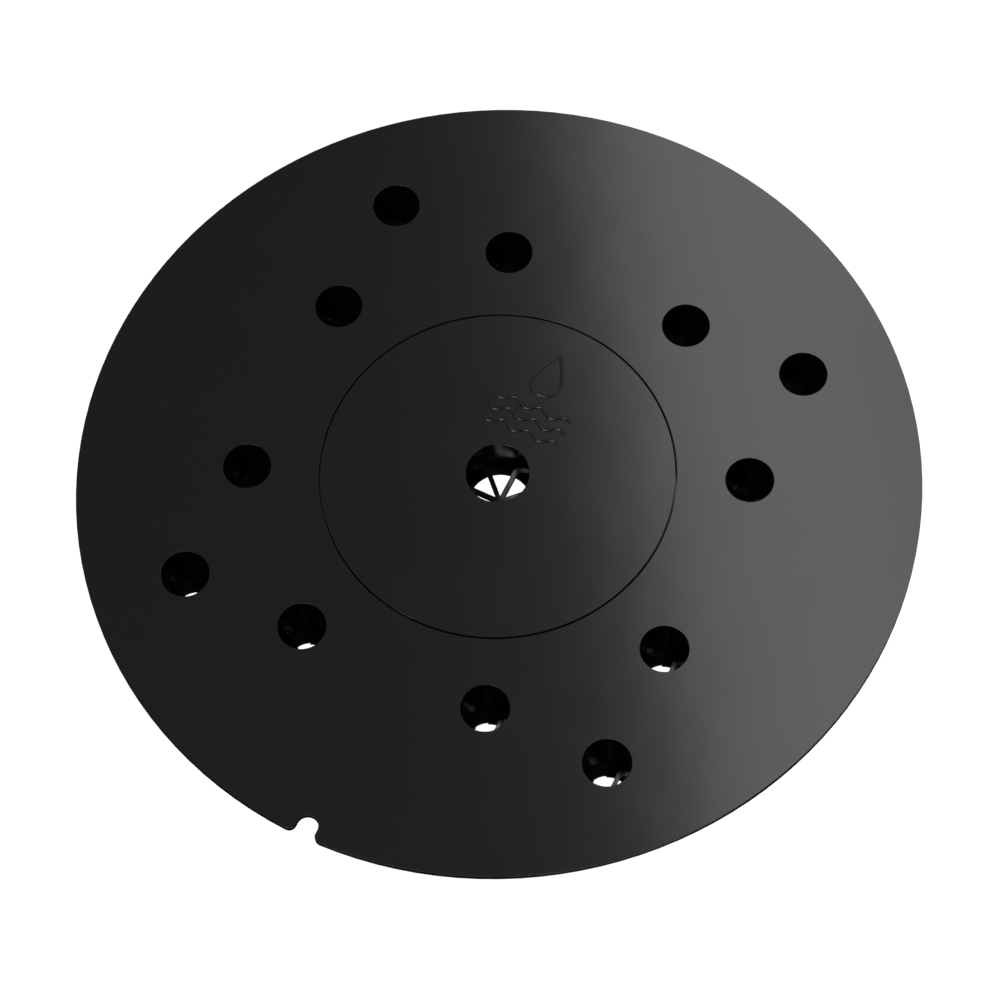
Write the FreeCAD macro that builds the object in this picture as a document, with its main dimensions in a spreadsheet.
import FreeCAD, Part
import math
import os

import Sketcher

# Aeration base for a round plant pot: a flat disc on twelve hollow wick legs, with a lift-out
# centre cap that carries a draining centre well and the air diffuser.
# Frame: millimetres, +Z up, origin on the disc's axis at the level of the feet,
# air line notch in the rim towards -Y.

TITLE = "pot_aeration_base"
doc = FreeCAD.newDocument(TITLE)

DIMENSIONS = [
    # the disc
    ("plate_dia", 300.0, "outside diameter of the disc"),
    ("height", 36.6, "feet to top face"),
    ("skin", 2.4, "moulded wall of disc and cap"),
    ("lip", 0.1, "rounding of the visible edges"),
    ("embed", 0.4, "how far one feature runs into the next, and room round a socket"),
    ("rib_width", 1.6, "stiffening ribs under the disc"),
    ("rib_height", 5.5, "depth of the ribs below the disc"),
    ("rim_rib_dia", 277.0, "middle of the ring rib near the rim"),
    ("line_slot", 6.4, "clear width between the air line's keepers"),
    ("keeper_length", 6.0, "length of a keeper"),
    ("keeper_near", 85.0, "middle of the inner pair of keepers, from the axis"),
    ("keeper_far", 115.0, "middle of the outer pair"),
    # wick legs
    ("grid_far", 81.9, "leg grid, outer rows from the axis"),
    ("grid_near", 35.6, "leg grid, inner rows from the axis"),
    ("bore_top_dia", 17.2, "leg bore at the top face"),
    ("bore_foot_dia", 15.9, "leg bore at the foot"),
    ("leg_wall", 1.4, "wall of a leg"),
    ("spigot_length", 4.4, "collar under each hole that a leg pushes over"),
    ("spigot_wall", 1.7, "wall of that collar"),
    ("socket_wall", 1.5, "wall of the socket that grips it"),
    ("push_gap", 0.05, "radial gap of a push-on joint"),
    ("shoulder_gap", 0.1, "end gap of a push-on joint"),
    ("cone_start", 3.2, "a tube widens to its socket from here below the shoulder"),
    ("cone_end", 0.8, "to here"),
    ("foot_grille", 1.2, "depth of the cross in the foot"),
    ("foot_spoke", 1.5, "width of its bars"),
    ("foot_lift", 0.2, "bars clear of the ground"),
    ("foot_slot", 4.6, "width of the water slots in the foot's edge"),
    ("foot_slot_height", 1.4, "height of those slots"),
    ("foot_slot_reach", 2.0, "how far the slot's cut passes the tube"),
    # rim notch
    ("notch_width", 7.6, "slot for a 6 mm air line"),
    ("notch_depth", 7.7, "slot depth from the rim"),
    ("notch_lip", 2.6, "rounding where the slot meets the rim"),
    # centre cap and its seat
    ("cap_dia", 126.1, "outside diameter of the centre cap"),
    ("cap_gap", 0.6, "slit round the cap"),
    ("skirt_wall", 1.6, "wall of the cap's skirt"),
    ("skirt_depth", 6.5, "top face to the cap's seat"),
    ("collar_wall", 1.8, "wall of the disc's collar round the skirt"),
    ("shelf_wall", 1.8, "shelf that the skirt stands on"),
    ("shelf_dia", 117.0, "inside diameter of the shelf"),
    ("key_width", 6.0, "lugs that hold the cap's angle"),
    ("key_height", 2.4, "height of the lugs"),
    ("key_gap", 0.4, "play of the lugs in the skirt"),
    ("key_root", 0.3, "lug past the skirt's inner face"),
    # centre well
    ("well_dia", 22.7, "bore of the centre well"),
    ("well_depth", 25.8, "top face to the bottom of the well"),
    ("well_wall", 1.5, "wall of the well"),
    ("well_grille", 2.0, "depth of the eight-spoke grille"),
    ("well_spoke", 1.6, "width of its spokes"),
    ("well_hub_dia", 4.2, "hub of the grille"),
    ("well_hub_rise", 0.3, "hub above the spokes"),
    # diffuser
    ("ring_dia", 80.0, "middle of the diffuser ring"),
    ("ring_width", 14.0, "width of the trough"),
    ("ring_wall", 1.4, "wall of the trough"),
    ("ring_ledge", 1.0, "step that the stone rests on"),
    ("ring_low", 14.6, "underside of the trough above the feet"),
    ("ring_height", 12.0, "height of the trough"),
    ("stone_thick", 4.8, "thickness of the porous ring"),
    ("stone_gap", 0.1, "gap round the porous ring"),
    ("stone_sunk", 0.3, "its top below the trough's edge"),
    ("stone_corner", 0.9, "chamfer of its upper edges"),
    # inlet nipple
    ("inlet_level", 19.0, "nipple axis above the feet"),
    ("inlet_face", 48.4, "flat that the nipple seals on, from the axis"),
    ("inlet_flat", 10.0, "width of that flat"),
    ("shank_dia", 4.8, "nipple shank through the trough's wall"),
    ("shank_length", 4.0, "shank inside the flat"),
    ("seal_thick", 1.0, "section of the sealing ring"),
    ("seal_gap", 0.15, "play of the sealing ring on the shank"),
    ("flange_dia", 8.4, "nipple flange"),
    ("flange_thick", 1.4, "thickness of the flange"),
    ("stub_dia", 4.2, "stub that the air line pushes over"),
    ("stub_length", 6.4, "length of the stub"),
    ("stub_chamfer", 0.4, "lead-in of the stub"),
    ("air_bore_dia", 2.2, "bore of the nipple"),
    # hooks that hang the ring under the cap
    ("hook_width", 6.0, "width of a hook"),
    ("hook_wall", 2.0, "thickness of a hook"),
    ("hook_reach", 5.0, "toe under the trough"),
    ("hook_gap", 0.3, "gap between hook and trough"),
    ("toe_thick", 1.6, "thickness of the toe"),
    ("nib_height", 1.6, "height of the nib over the trough's edge"),
    ("nib_reach", 1.0, "reach of the nib"),
    ("tongue_gap", 0.2, "end gap of the tongue in its pocket"),
    ("boss_height", 4.6, "boss under the cap that holds a hook"),
    ("boss_wall", 1.6, "wall of that boss"),
]

LEG_GRID = [
    ("-{0}", "-{0}"), ("-{1}", "-{0}"), ("{1}", "-{0}"), ("{0}", "-{0}"),
    ("-{0}", "-{1}"), ("{0}", "-{1}"), ("-{0}", "{1}"), ("{0}", "{1}"),
    ("-{0}", "{0}"), ("-{1}", "{0}"), ("{1}", "{0}"), ("{0}", "{0}"),
]
QUARTERS = 4
SPOKE_PAIRS = 4
DIAGONAL = "cos(45)"
OVERRUN = 1.0


def make_sheet():
    """The driving dimensions, one named cell each."""
    sheet = doc.addObject("Spreadsheet::Sheet", "Dims")
    for row, (alias, value, note) in enumerate(DIMENSIONS, start=1):
        sheet.set("A%d" % row, alias)
        sheet.set("B%d" % row, "%g" % value)
        sheet.set("C%d" % row, note)
        sheet.setAlias("B%d" % row, alias)
    doc.recompute()
    return sheet


sheet = make_sheet()


def dims(text):
    """Turns <name> in an expression into that cell of the sheet."""
    return text.replace("<", "Dims.").replace(">", "")


def value(text):
    return float(sheet.evalExpression(dims(text)))


def bore_radius(level):
    """Radius of the leg's tapered bore at a height above the feet."""
    return "(<bore_foot_dia> + (<bore_top_dia> - <bore_foot_dia>) * (%s) / <height>) / 2" % level


UNDERSIDE = "(<height> - <skin>)"
SEAT = "(<height> - <skirt_depth>)"
SHOULDER = "(<height> - <skin> - <spigot_length> - <shoulder_gap>)"
SPIGOT_RADIUS = "(<bore_top_dia> / 2 + <spigot_wall>)"
WELL_SPIGOT_RADIUS = "(<well_dia> / 2 + <spigot_wall>)"
CAP_RADIUS = "(<cap_dia> / 2)"
COLLAR_RADIUS = "(<cap_dia> / 2 + <cap_gap>)"
RING_OUT = "(<ring_dia> / 2 + <ring_width> / 2)"
RING_IN = "(<ring_dia> / 2 - <ring_width> / 2)"
STONE_LEVEL = "(<ring_low> + <ring_height> - <stone_thick> - <stone_sunk>)"
HOOK_FACE = "(<ring_dia> / 2 + <ring_width> / 2 + <hook_gap>)"


def new_body(label):
    body = doc.addObject("PartDesign::Body", label)
    body.Label = label
    return body


def origin_part(body, role):
    for feature in body.Origin.OriginFeatures:
        if feature.Role == role:
            return feature
    raise RuntimeError("no %s in %s" % (role, body.Label))


def new_sketch(body, name, role="XY_Plane", level=None):
    """A sketch on one of the body's own planes, lifted to a level if one is given."""
    sketch = body.newObject("Sketcher::SketchObject", name)
    sketch.AttachmentSupport = [(origin_part(body, role), "")]
    sketch.MapMode = "FlatFace"
    if level is not None:
        sketch.setExpression("AttachmentOffset.Base.z", dims(level))
    return sketch


def fix_point(sketch, geo, end, x, y):
    """Ties a point of the sketch to two expressions."""
    for kind, text in (("DistanceX", x), ("DistanceY", y)):
        here = sketch.addConstraint(Sketcher.Constraint(kind, -1, 1, geo, end, value(text)))
        sketch.setExpression("Constraints[%d]" % here, dims(text))


def outline(sketch, points):
    """A closed outline of straight sides through (x, y) expressions."""
    corners = [FreeCAD.Vector(value(x), value(y), 0) for x, y in points]
    first = None
    for i, corner in enumerate(corners):
        side = Part.LineSegment(corner, corners[(i + 1) % len(corners)])
        geo = sketch.addGeometry(side, False)
        first = geo if first is None else first
    for i, (x, y) in enumerate(points):
        before = first + (i - 1) % len(points)
        sketch.addConstraint(Sketcher.Constraint("Coincident", before, 2, first + i, 1))
        fix_point(sketch, first + i, 1, x, y)


def box_outline(sketch, x0, x1, y0, y1):
    outline(sketch, [(x0, y0), (x1, y0), (x1, y1), (x0, y1)])


def circle(sketch, x, y, radius):
    centre = FreeCAD.Vector(value(x), value(y), 0)
    round_edge = Part.Circle(centre, FreeCAD.Vector(0, 0, 1), value(radius))
    geo = sketch.addGeometry(round_edge, False)
    here = sketch.addConstraint(Sketcher.Constraint("Radius", geo, value(radius)))
    sketch.setExpression("Constraints[%d]" % here, dims(radius))
    if (x, y) == ("0", "0"):
        sketch.addConstraint(Sketcher.Constraint("Coincident", geo, 3, -1, 1))
    else:
        fix_point(sketch, geo, 3, x, y)


def revolve(body, name, points):
    """A ring or tube: the outline, in radius and height, turned round the Z axis."""
    sketch = new_sketch(body, name + "_outline", "XZ_Plane")
    outline(sketch, points)
    ring = body.newObject("PartDesign::Revolution", name)
    ring.Profile = sketch
    ring.ReferenceAxis = (sketch, ["V_Axis"])
    ring.Angle = 360.0
    doc.recompute()
    return ring


def volume(body):
    doc.recompute()
    return body.Shape.Volume


def extrude(body, kind, name, sketch, length, down, taper=0.0):
    """Pads or pockets a sketch and makes sure that it added or removed something."""
    before = volume(body)
    feature = body.newObject("PartDesign::" + kind, name)
    feature.Profile = sketch
    feature.setExpression("Length", dims(length))
    # a pad runs up from its sketch and a pocket down, unless turned round
    feature.Reversed = down if kind == "Pad" else not down
    feature.TaperAngle = taper
    after = volume(body)
    if (after > before) != (kind == "Pad") or abs(after - before) < 1e-3:
        raise RuntimeError("%s %s of %s changed nothing" % (kind, name, body.Label))
    return feature


def round_pattern(body, feature, count, angle=360.0):
    """Repeats a feature round the Z axis; an angle under a full turn is first to last."""
    before = volume(body)
    pattern = body.newObject("PartDesign::PolarPattern", feature.Name + "_round")
    pattern.Originals = [feature]
    pattern.Axis = (origin_part(body, "Z_Axis"), [""])
    pattern.Angle = angle
    pattern.Occurrences = count
    body.Tip = pattern
    if abs(volume(body) - before) < 1e-3:
        raise RuntimeError("pattern of %s repeated nothing" % feature.Name)
    return pattern


def fillet_edges(body, name, chosen, radius):
    """Rounds the edges of the finished body that the test picks out."""
    doc.recompute()
    base = body.Tip
    edges = ["Edge%d" % (i + 1) for i, edge in enumerate(base.Shape.Edges) if chosen(edge)]
    if not edges:
        raise RuntimeError("%s found no edge on %s" % (name, body.Label))
    rounding = body.newObject("PartDesign::Fillet", name)
    rounding.Base = (base, edges)
    rounding.setExpression("Radius", dims(radius))
    doc.recompute()
    return rounding


def is_rim(edge, radius, level):
    """True for a circle about a vertical axis with this radius at this level."""
    curve = edge.Curve
    if not isinstance(curve, Part.Circle):
        return False
    return abs(curve.Radius - radius) < 0.01 and abs(curve.Center.z - level) < 0.01


def plate_ribs(body):
    """Ribs along the leg grid's lines, and a ring rib inside the rim."""
    half = "<rib_width> / 2"
    sketch = new_sketch(body, "rib_lines", level=UNDERSIDE)
    box_outline(
        sketch, "<grid_far> - " + half, "<grid_far> + " + half, "-<grid_far>", "<grid_far>"
    )
    rib = extrude(body, "Pad", "far_rib", sketch, "<rib_height>", down=True)
    round_pattern(body, rib, QUARTERS)
    start = "sqrt((%s + <collar_wall> / 2) ^ 2 - <grid_near> ^ 2)" % COLLAR_RADIUS
    end = "sqrt((<rim_rib_dia> / 2) ^ 2 - <grid_near> ^ 2)"
    for side in (1, -1):
        sketch = new_sketch(body, "spur_lines", level=UNDERSIDE)
        middle = "%d * <grid_near>" % side
        box_outline(sketch, middle + " - " + half, middle + " + " + half, start, end)
        rib = extrude(body, "Pad", "spur_rib", sketch, "<rib_height>", down=True)
        round_pattern(body, rib, QUARTERS)
    sketch = new_sketch(body, "rim_ring", level=UNDERSIDE)
    circle(sketch, "0", "0", "<rim_rib_dia> / 2 - " + half)
    circle(sketch, "0", "0", "<rim_rib_dia> / 2 + " + half)
    extrude(body, "Pad", "rim_rib", sketch, "<rib_height> / 2", down=True)


def quarter_of_the_grid(sketch, radius):
    """The three leg places that four quarter turns carry to all twelve."""
    circle(sketch, "<grid_far>", "<grid_far>", radius)
    circle(sketch, "<grid_near>", "<grid_far>", radius)
    circle(sketch, "<grid_far>", "<grid_near>", radius)


def plate_leg_seats(body):
    """Room for the legs' sockets, the spigots that they push over and the tapered bores."""
    sketch = new_sketch(body, "socket_room", level=UNDERSIDE)
    quarter_of_the_grid(
        sketch, SPIGOT_RADIUS + " + <push_gap> + <socket_wall> + <embed>"
    )
    length = "<rib_height> + %g" % OVERRUN
    room = extrude(body, "Pocket", "socket_clearance", sketch, length, down=True)
    round_pattern(body, room, QUARTERS)
    sketch = new_sketch(body, "spigots", level=UNDERSIDE)
    quarter_of_the_grid(sketch, SPIGOT_RADIUS)
    spigot = extrude(body, "Pad", "leg_spigot", sketch, "<spigot_length>", down=True)
    round_pattern(body, spigot, QUARTERS)
    sketch = new_sketch(body, "bores", level="<height>")
    quarter_of_the_grid(sketch, "<bore_top_dia> / 2")
    draft = math.degrees(math.atan(value("(<bore_top_dia> - <bore_foot_dia>) / 2 / <height>")))
    length = "<skin> + <spigot_length> + <shoulder_gap>"
    bore = extrude(body, "Pocket", "leg_bore", sketch, length, down=True, taper=-draft)
    round_pattern(body, bore, QUARTERS)


def plate_keys(body):
    """Lugs on the shelf that hold the cap's angle."""
    sketch = new_sketch(body, "key_outline", level=SEAT)
    box_outline(
        sketch, CAP_RADIUS + " - <skirt_wall> - <key_root>",
        COLLAR_RADIUS + " + <collar_wall> / 2", "-<key_width> / 2", "<key_width> / 2"
    )
    key = extrude(body, "Pad", "cap_key", sketch, "<key_height>", down=False)
    round_pattern(body, key, QUARTERS)


def plate_line_keepers(body):
    """Two pairs of small walls under the disc that hold the air line between them."""
    half = "<keeper_length> / 2"
    for middle in ("<keeper_near>", "<keeper_far>"):
        for side in (1, -1):
            sketch = new_sketch(body, "keeper_outline", level=UNDERSIDE)
            inner = "%d * <line_slot> / 2" % side
            outer = "%d * (<line_slot> / 2 + <rib_width>)" % side
            low, high = (inner, outer) if side > 0 else (outer, inner)
            box_outline(sketch, low, high, "-(%s + %s)" % (middle, half),
                        "-(%s - %s)" % (middle, half))
            extrude(body, "Pad", "line_keeper", sketch, "<rib_height>", down=True)


def rim_notch(body):
    """The round-ended slot in the rim that lets the air line down past the disc."""
    centre = "-(<plate_dia> / 2 - <notch_depth> + <notch_width> / 2)"
    half = "<notch_width> / 2"
    edge = "-(<plate_dia> / 2 + %g)" % OVERRUN
    sketch = new_sketch(body, "notch_slot", level="<height>")
    box_outline(sketch, "-" + half, half, edge, centre)
    extrude(body, "Pocket", "notch_sides", sketch, "<skin>", down=True)
    sketch = new_sketch(body, "notch_round", level="<height>")
    circle(sketch, "0", centre, half)
    extrude(body, "Pocket", "notch_end", sketch, "<skin>", down=True)

    def is_lip(edge):
        box = edge.BoundBox
        upright = box.ZLength > 1 and box.XLength < 0.01 and box.YLength < 0.01
        beside = abs(abs(box.XMin) - value(half)) < 0.05
        return upright and beside and box.YMin < -value("<plate_dia> / 2") + 2

    fillet_edges(body, "notch_lips", is_lip, "<notch_lip>")


def outer_plate():
    """The disc with its collar and shelf for the cap, leg seats, ribs and notch."""
    body = new_body("outer_plate")
    inside = "<shelf_dia> / 2"
    collar = COLLAR_RADIUS + " + <collar_wall>"
    floor = SEAT + " - <shelf_wall>"
    revolve(body, "disc", [
        (inside, SEAT), (inside, floor), (collar, floor), (collar, UNDERSIDE),
        ("<plate_dia> / 2", UNDERSIDE), ("<plate_dia> / 2", "<height>"),
        (COLLAR_RADIUS, "<height>"), (COLLAR_RADIUS, SEAT),
    ])
    plate_ribs(body)
    plate_leg_seats(body)
    plate_keys(body)
    plate_line_keepers(body)
    rim_notch(body)
    top = value("<height>")
    radii = [value("<bore_top_dia> / 2"), value(COLLAR_RADIUS), value("<plate_dia> / 2")]
    fillet_edges(
        body, "soft_edges", lambda edge: any(is_rim(edge, r, top) for r in radii), "<lip>"
    )
    return body


def turned_box(sketch, r0, r1, half_width):
    """A rectangle on the 45 degree line, between two radii."""
    corners = [(r0, "-1"), (r1, "-1"), (r1, "1"), (r0, "1")]
    outline(sketch, [
        (
            "((%s) - (%s) * (%s)) * %s" % (r, side, half_width, DIAGONAL),
            "((%s) + (%s) * (%s)) * %s" % (r, side, half_width, DIAGONAL),
        )
        for r, side in corners
    ])


def wick_leg(number, place):
    """A hollow tapered leg: socket at the top, cross and water slots in the foot."""
    body = new_body("wick_leg_%02d" % number)
    foot = "<bore_foot_dia> / 2"
    neck = SHOULDER + " - <cone_start>"
    socket = SPIGOT_RADIUS + " + <push_gap>"
    grip = socket + " + <socket_wall>"
    revolve(body, "tube", [
        (foot, "0"), (foot + " + <leg_wall>", "0"),
        (bore_radius(neck) + " + <leg_wall>", neck), (grip, SHOULDER + " - <cone_end>"),
        (grip, UNDERSIDE), (socket, UNDERSIDE), (socket, SHOULDER),
        (bore_radius(SHOULDER), SHOULDER),
    ])
    reach = foot + " + <leg_wall> / 2"
    half = "<foot_spoke> / 2"
    sketch = new_sketch(body, "bar_outline", level="<foot_lift>")
    box_outline(sketch, "-(%s)" % reach, reach, "-" + half, half)
    bar = extrude(body, "Pad", "foot_bar", sketch, "<foot_grille>", down=False)
    round_pattern(body, bar, 2, 90.0)
    sketch = new_sketch(body, "slot_outline")
    turned_box(sketch, foot + " - <embed>", foot + " + <foot_slot_reach>", "<foot_slot> / 2")
    slot = extrude(body, "Pocket", "water_slot", sketch, "<foot_slot_height>", down=False)
    round_pattern(body, slot, QUARTERS)
    for axis, text in zip("xy", place):
        where = text.format("<grid_far>", "<grid_near>")
        body.setExpression("Placement.Base." + axis, dims(where))
    doc.recompute()
    return body


def centre_cap():
    """The lift-out disc: skirt, spigot for the well, hook bosses and light ribs."""
    body = new_body("centre_cap")
    well = "<well_dia> / 2"
    skirt = CAP_RADIUS + " - <skirt_wall>"
    spigot_end = UNDERSIDE + " - <spigot_length>"
    revolve(body, "disc", [
        (well, "<height>"), (well, spigot_end), (WELL_SPIGOT_RADIUS, spigot_end),
        (WELL_SPIGOT_RADIUS, UNDERSIDE), (skirt, UNDERSIDE), (skirt, SEAT),
        (CAP_RADIUS, SEAT), (CAP_RADIUS, "<height>"),
    ])
    sketch = new_sketch(body, "rib_line", level=UNDERSIDE)
    rib_start = WELL_SPIGOT_RADIUS + " + <push_gap> + <socket_wall> + <embed>"
    rib_end = skirt + " + <embed>"
    box_outline(sketch, rib_start, rib_end, "-<rib_width> / 2", "<rib_width> / 2")
    rib = extrude(body, "Pad", "cap_rib", sketch, "<rib_height> / 2", down=True)
    round_pattern(body, rib, QUARTERS)
    sketch = new_sketch(body, "keyway_outline", level=SEAT)
    wide = "<key_width> / 2 + <key_gap>"
    past = " %%s %g" % OVERRUN
    box_outline(sketch, skirt + past % "-", CAP_RADIUS + past % "+", "-(%s)" % wide, wide)
    keyway = extrude(
        body, "Pocket", "keyway", sketch, "<key_height> + <key_gap>", down=False
    )
    round_pattern(body, keyway, QUARTERS)
    hook_bosses(body)
    top = value("<height>")
    radii = [value("<well_dia> / 2"), value(CAP_RADIUS)]
    fillet_edges(
        body, "soft_edges", lambda edge: any(is_rim(edge, r, top) for r in radii), "<lip>"
    )
    return body


def hook_bosses(body):
    """Four bosses under the cap, each with a pocket for a hook's tongue."""
    inner = HOOK_FACE + " - <push_gap>"
    outer = HOOK_FACE + " + <hook_wall> + <push_gap>"
    half = "<hook_width> / 2 + <push_gap>"
    sketch = new_sketch(body, "boss_outline", level=UNDERSIDE)
    turned_box(sketch, inner + " - <boss_wall>", outer + " + <boss_wall>", half + " + <boss_wall>")
    boss = extrude(body, "Pad", "hook_boss", sketch, "<boss_height>", down=True)
    round_pattern(body, boss, QUARTERS)
    sketch = new_sketch(body, "pocket_outline", level=UNDERSIDE)
    turned_box(sketch, inner, outer, half)
    pocket = extrude(body, "Pocket", "tongue_pocket", sketch, "<boss_height>", down=True)
    round_pattern(body, pocket, QUARTERS)


def centre_well():
    """The straight tube under the cap with the eight-spoke grille at its bottom."""
    body = new_body("centre_well")
    well = "<well_dia> / 2"
    bottom = "(<height> - <well_depth>)"
    socket = WELL_SPIGOT_RADIUS + " + <push_gap>"
    grip = socket + " + <socket_wall>"
    tube = well + " + <well_wall>"
    revolve(body, "tube", [
        (well, bottom), (tube, bottom), (tube, SHOULDER + " - <cone_start>"),
        (grip, SHOULDER + " - <cone_end>"), (grip, UNDERSIDE), (socket, UNDERSIDE),
        (socket, SHOULDER), (well, SHOULDER),
    ])
    reach = well + " + <well_wall> / 2"
    half = "<well_spoke> / 2"
    sketch = new_sketch(body, "spoke_outline", level=bottom)
    box_outline(sketch, "-(%s)" % reach, reach, "-" + half, half)
    spoke = extrude(body, "Pad", "spoke", sketch, "<well_grille>", down=False)
    round_pattern(body, spoke, SPOKE_PAIRS, 180.0 * (SPOKE_PAIRS - 1) / SPOKE_PAIRS)
    sketch = new_sketch(body, "hub_outline", level=bottom)
    circle(sketch, "0", "0", "<well_hub_dia> / 2")
    extrude(body, "Pad", "hub", sketch, "<well_grille> + <well_hub_rise>", down=False)
    return body


def diffuser_trough():
    """The U-shaped ring that feeds air to the stone, with a flat for the nipple."""
    body = new_body("diffuser_trough")
    low = "<ring_low>"
    high = "<ring_low> + <ring_height>"
    floor = "<ring_low> + <ring_wall>"
    out_wall = RING_OUT + " - <ring_wall>"
    in_wall = RING_IN + " + <ring_wall>"
    revolve(body, "channel", [
        (RING_IN, low), (RING_OUT, low), (RING_OUT, high), (out_wall, high),
        (out_wall, STONE_LEVEL), (out_wall + " - <ring_ledge>", STONE_LEVEL),
        (out_wall + " - <ring_ledge>", floor), (in_wall + " + <ring_ledge>", floor),
        (in_wall + " + <ring_ledge>", STONE_LEVEL), (in_wall, STONE_LEVEL),
        (in_wall, high), (RING_IN, high),
    ])
    sketch = new_sketch(body, "flat_outline", level=low)
    half = "<inlet_flat> / 2"
    box_outline(sketch, "-" + half, half, "-<inlet_face>", "-(%s) + <ring_wall>" % RING_OUT)
    extrude(body, "Pad", "nipple_flat", sketch, "2 * (<inlet_level> - <ring_low>)", down=False)
    start = "<inlet_face> + %g" % OVERRUN
    sketch = new_sketch(body, "hole_outline", "XZ_Plane", level=start)
    circle(sketch, "0", "<inlet_level>", "<shank_dia> / 2 + <push_gap>")
    length = start + " - <ring_dia> / 2"
    extrude(body, "Pocket", "nipple_hole", sketch, length, down=True)
    return body


def diffuser_stone():
    """The porous ring that closes the trough and breaks the air into bubbles."""
    body = new_body("diffuser_stone")
    outer = RING_OUT + " - <ring_wall> - <stone_gap>"
    inner = RING_IN + " + <ring_wall> + <stone_gap>"
    top = STONE_LEVEL + " + <stone_thick>"
    corner = "<stone_corner>"
    revolve(body, "ring", [
        (inner, STONE_LEVEL), (outer, STONE_LEVEL), (outer, top + " - " + corner),
        (outer + " - " + corner, top), (inner + " + " + corner, top),
        (inner, top + " - " + corner),
    ])
    return body


def to_the_notch(feature, distance):
    """Turns a piece made along +Z to point at the notch, its base this far out."""
    turn = FreeCAD.Rotation(FreeCAD.Vector(1, 0, 0), 90)
    where = FreeCAD.Vector(0, -value(distance), value("<inlet_level>"))
    feature.Placement = FreeCAD.Placement(where, turn)


def inlet_nipple():
    """The stub for the air line: shank through the wall, flange and bore."""
    body = new_body("inlet_nipple")
    bore = "<air_bore_dia> / 2"
    shank = "<shank_dia> / 2"
    stub = "<stub_dia> / 2"
    flange = "<shank_length> + <seal_thick>"
    face = flange + " + <flange_thick>"
    end = face + " + <stub_length>"
    revolve(body, "turned", [
        (bore, "0"), (shank, "0"), (shank, flange), ("<flange_dia> / 2", flange),
        ("<flange_dia> / 2", face), (stub, face), (stub, end + " - <stub_chamfer>"),
        (stub + " - <stub_chamfer>", end), (bore, end),
    ])
    to_the_notch(body, "<inlet_face> - <shank_length>")
    doc.recompute()
    return body


def inlet_seal():
    """The rubber ring between the flange and the trough."""
    ring = doc.addObject("Part::Torus", "inlet_seal")
    ring.Label = "inlet_seal"
    ring.setExpression("Radius1", dims("<shank_dia> / 2 + <seal_gap> + <seal_thick> / 2"))
    ring.setExpression("Radius2", dims("<seal_thick> / 2"))
    to_the_notch(ring, "<inlet_face> + <seal_thick> / 2")
    doc.recompute()
    return ring


def ring_hook(number):
    """A snap hook: tongue in the cap's boss, toe under the trough, nib over its edge."""
    body = new_body("ring_hook_%d" % number)
    face = HOOK_FACE
    back = HOOK_FACE + " + <hook_wall>"
    toe = "<ring_low> - <hook_gap>"
    sole = toe + " - <toe_thick>"
    tip = HOOK_FACE + " - <hook_reach>"
    edge = "<ring_low> + <ring_height> + <hook_gap>"
    tongue = UNDERSIDE + " - <tongue_gap>"
    sketch = new_sketch(body, "side_outline", "XZ_Plane")
    outline(sketch, [
        (face, tongue), (face, edge + " + <nib_height>"), (face + " - <nib_reach>", edge),
        (face, edge), (face, toe), (tip, toe), (tip, sole), (back, sole), (back, tongue),
    ])
    strip = body.newObject("PartDesign::Pad", "strip")
    strip.Profile = sketch
    strip.setExpression("Length", dims("<hook_width>"))
    strip.Midplane = True
    turn = FreeCAD.Rotation(FreeCAD.Vector(0, 0, 1), 360.0 / QUARTERS * (number - 0.5))
    body.Placement = FreeCAD.Placement(FreeCAD.Vector(), turn)
    doc.recompute()
    return body


def check(parts):
    """Stops if any object failed or any sub-part isn't one valid solid."""
    doc.recompute()
    for item in doc.Objects:
        if "Invalid" in item.State or "Error" in item.State:
            raise RuntimeError("%s failed: %s" % (item.Label, item.State))
    for part in parts:
        shape = part.Shape
        if shape.isNull() or not shape.isValid() or len(shape.Solids) != 1:
            raise RuntimeError("%s isn't one valid solid" % part.Label)


parts = [outer_plate()]
parts += [wick_leg(i, place) for i, place in enumerate(LEG_GRID, start=1)]
parts += [centre_cap(), centre_well(), diffuser_trough(), diffuser_stone()]
parts += [inlet_nipple(), inlet_seal()]
parts += [ring_hook(i) for i in range(1, QUARTERS + 1)]
check(parts)

os.makedirs("parts", exist_ok=True)
for part in parts:
    part.Shape.exportStep("parts/%s.step" % part.Label)
    print("%-16s %9.1f mm3" % (part.Label, part.Shape.Volume))
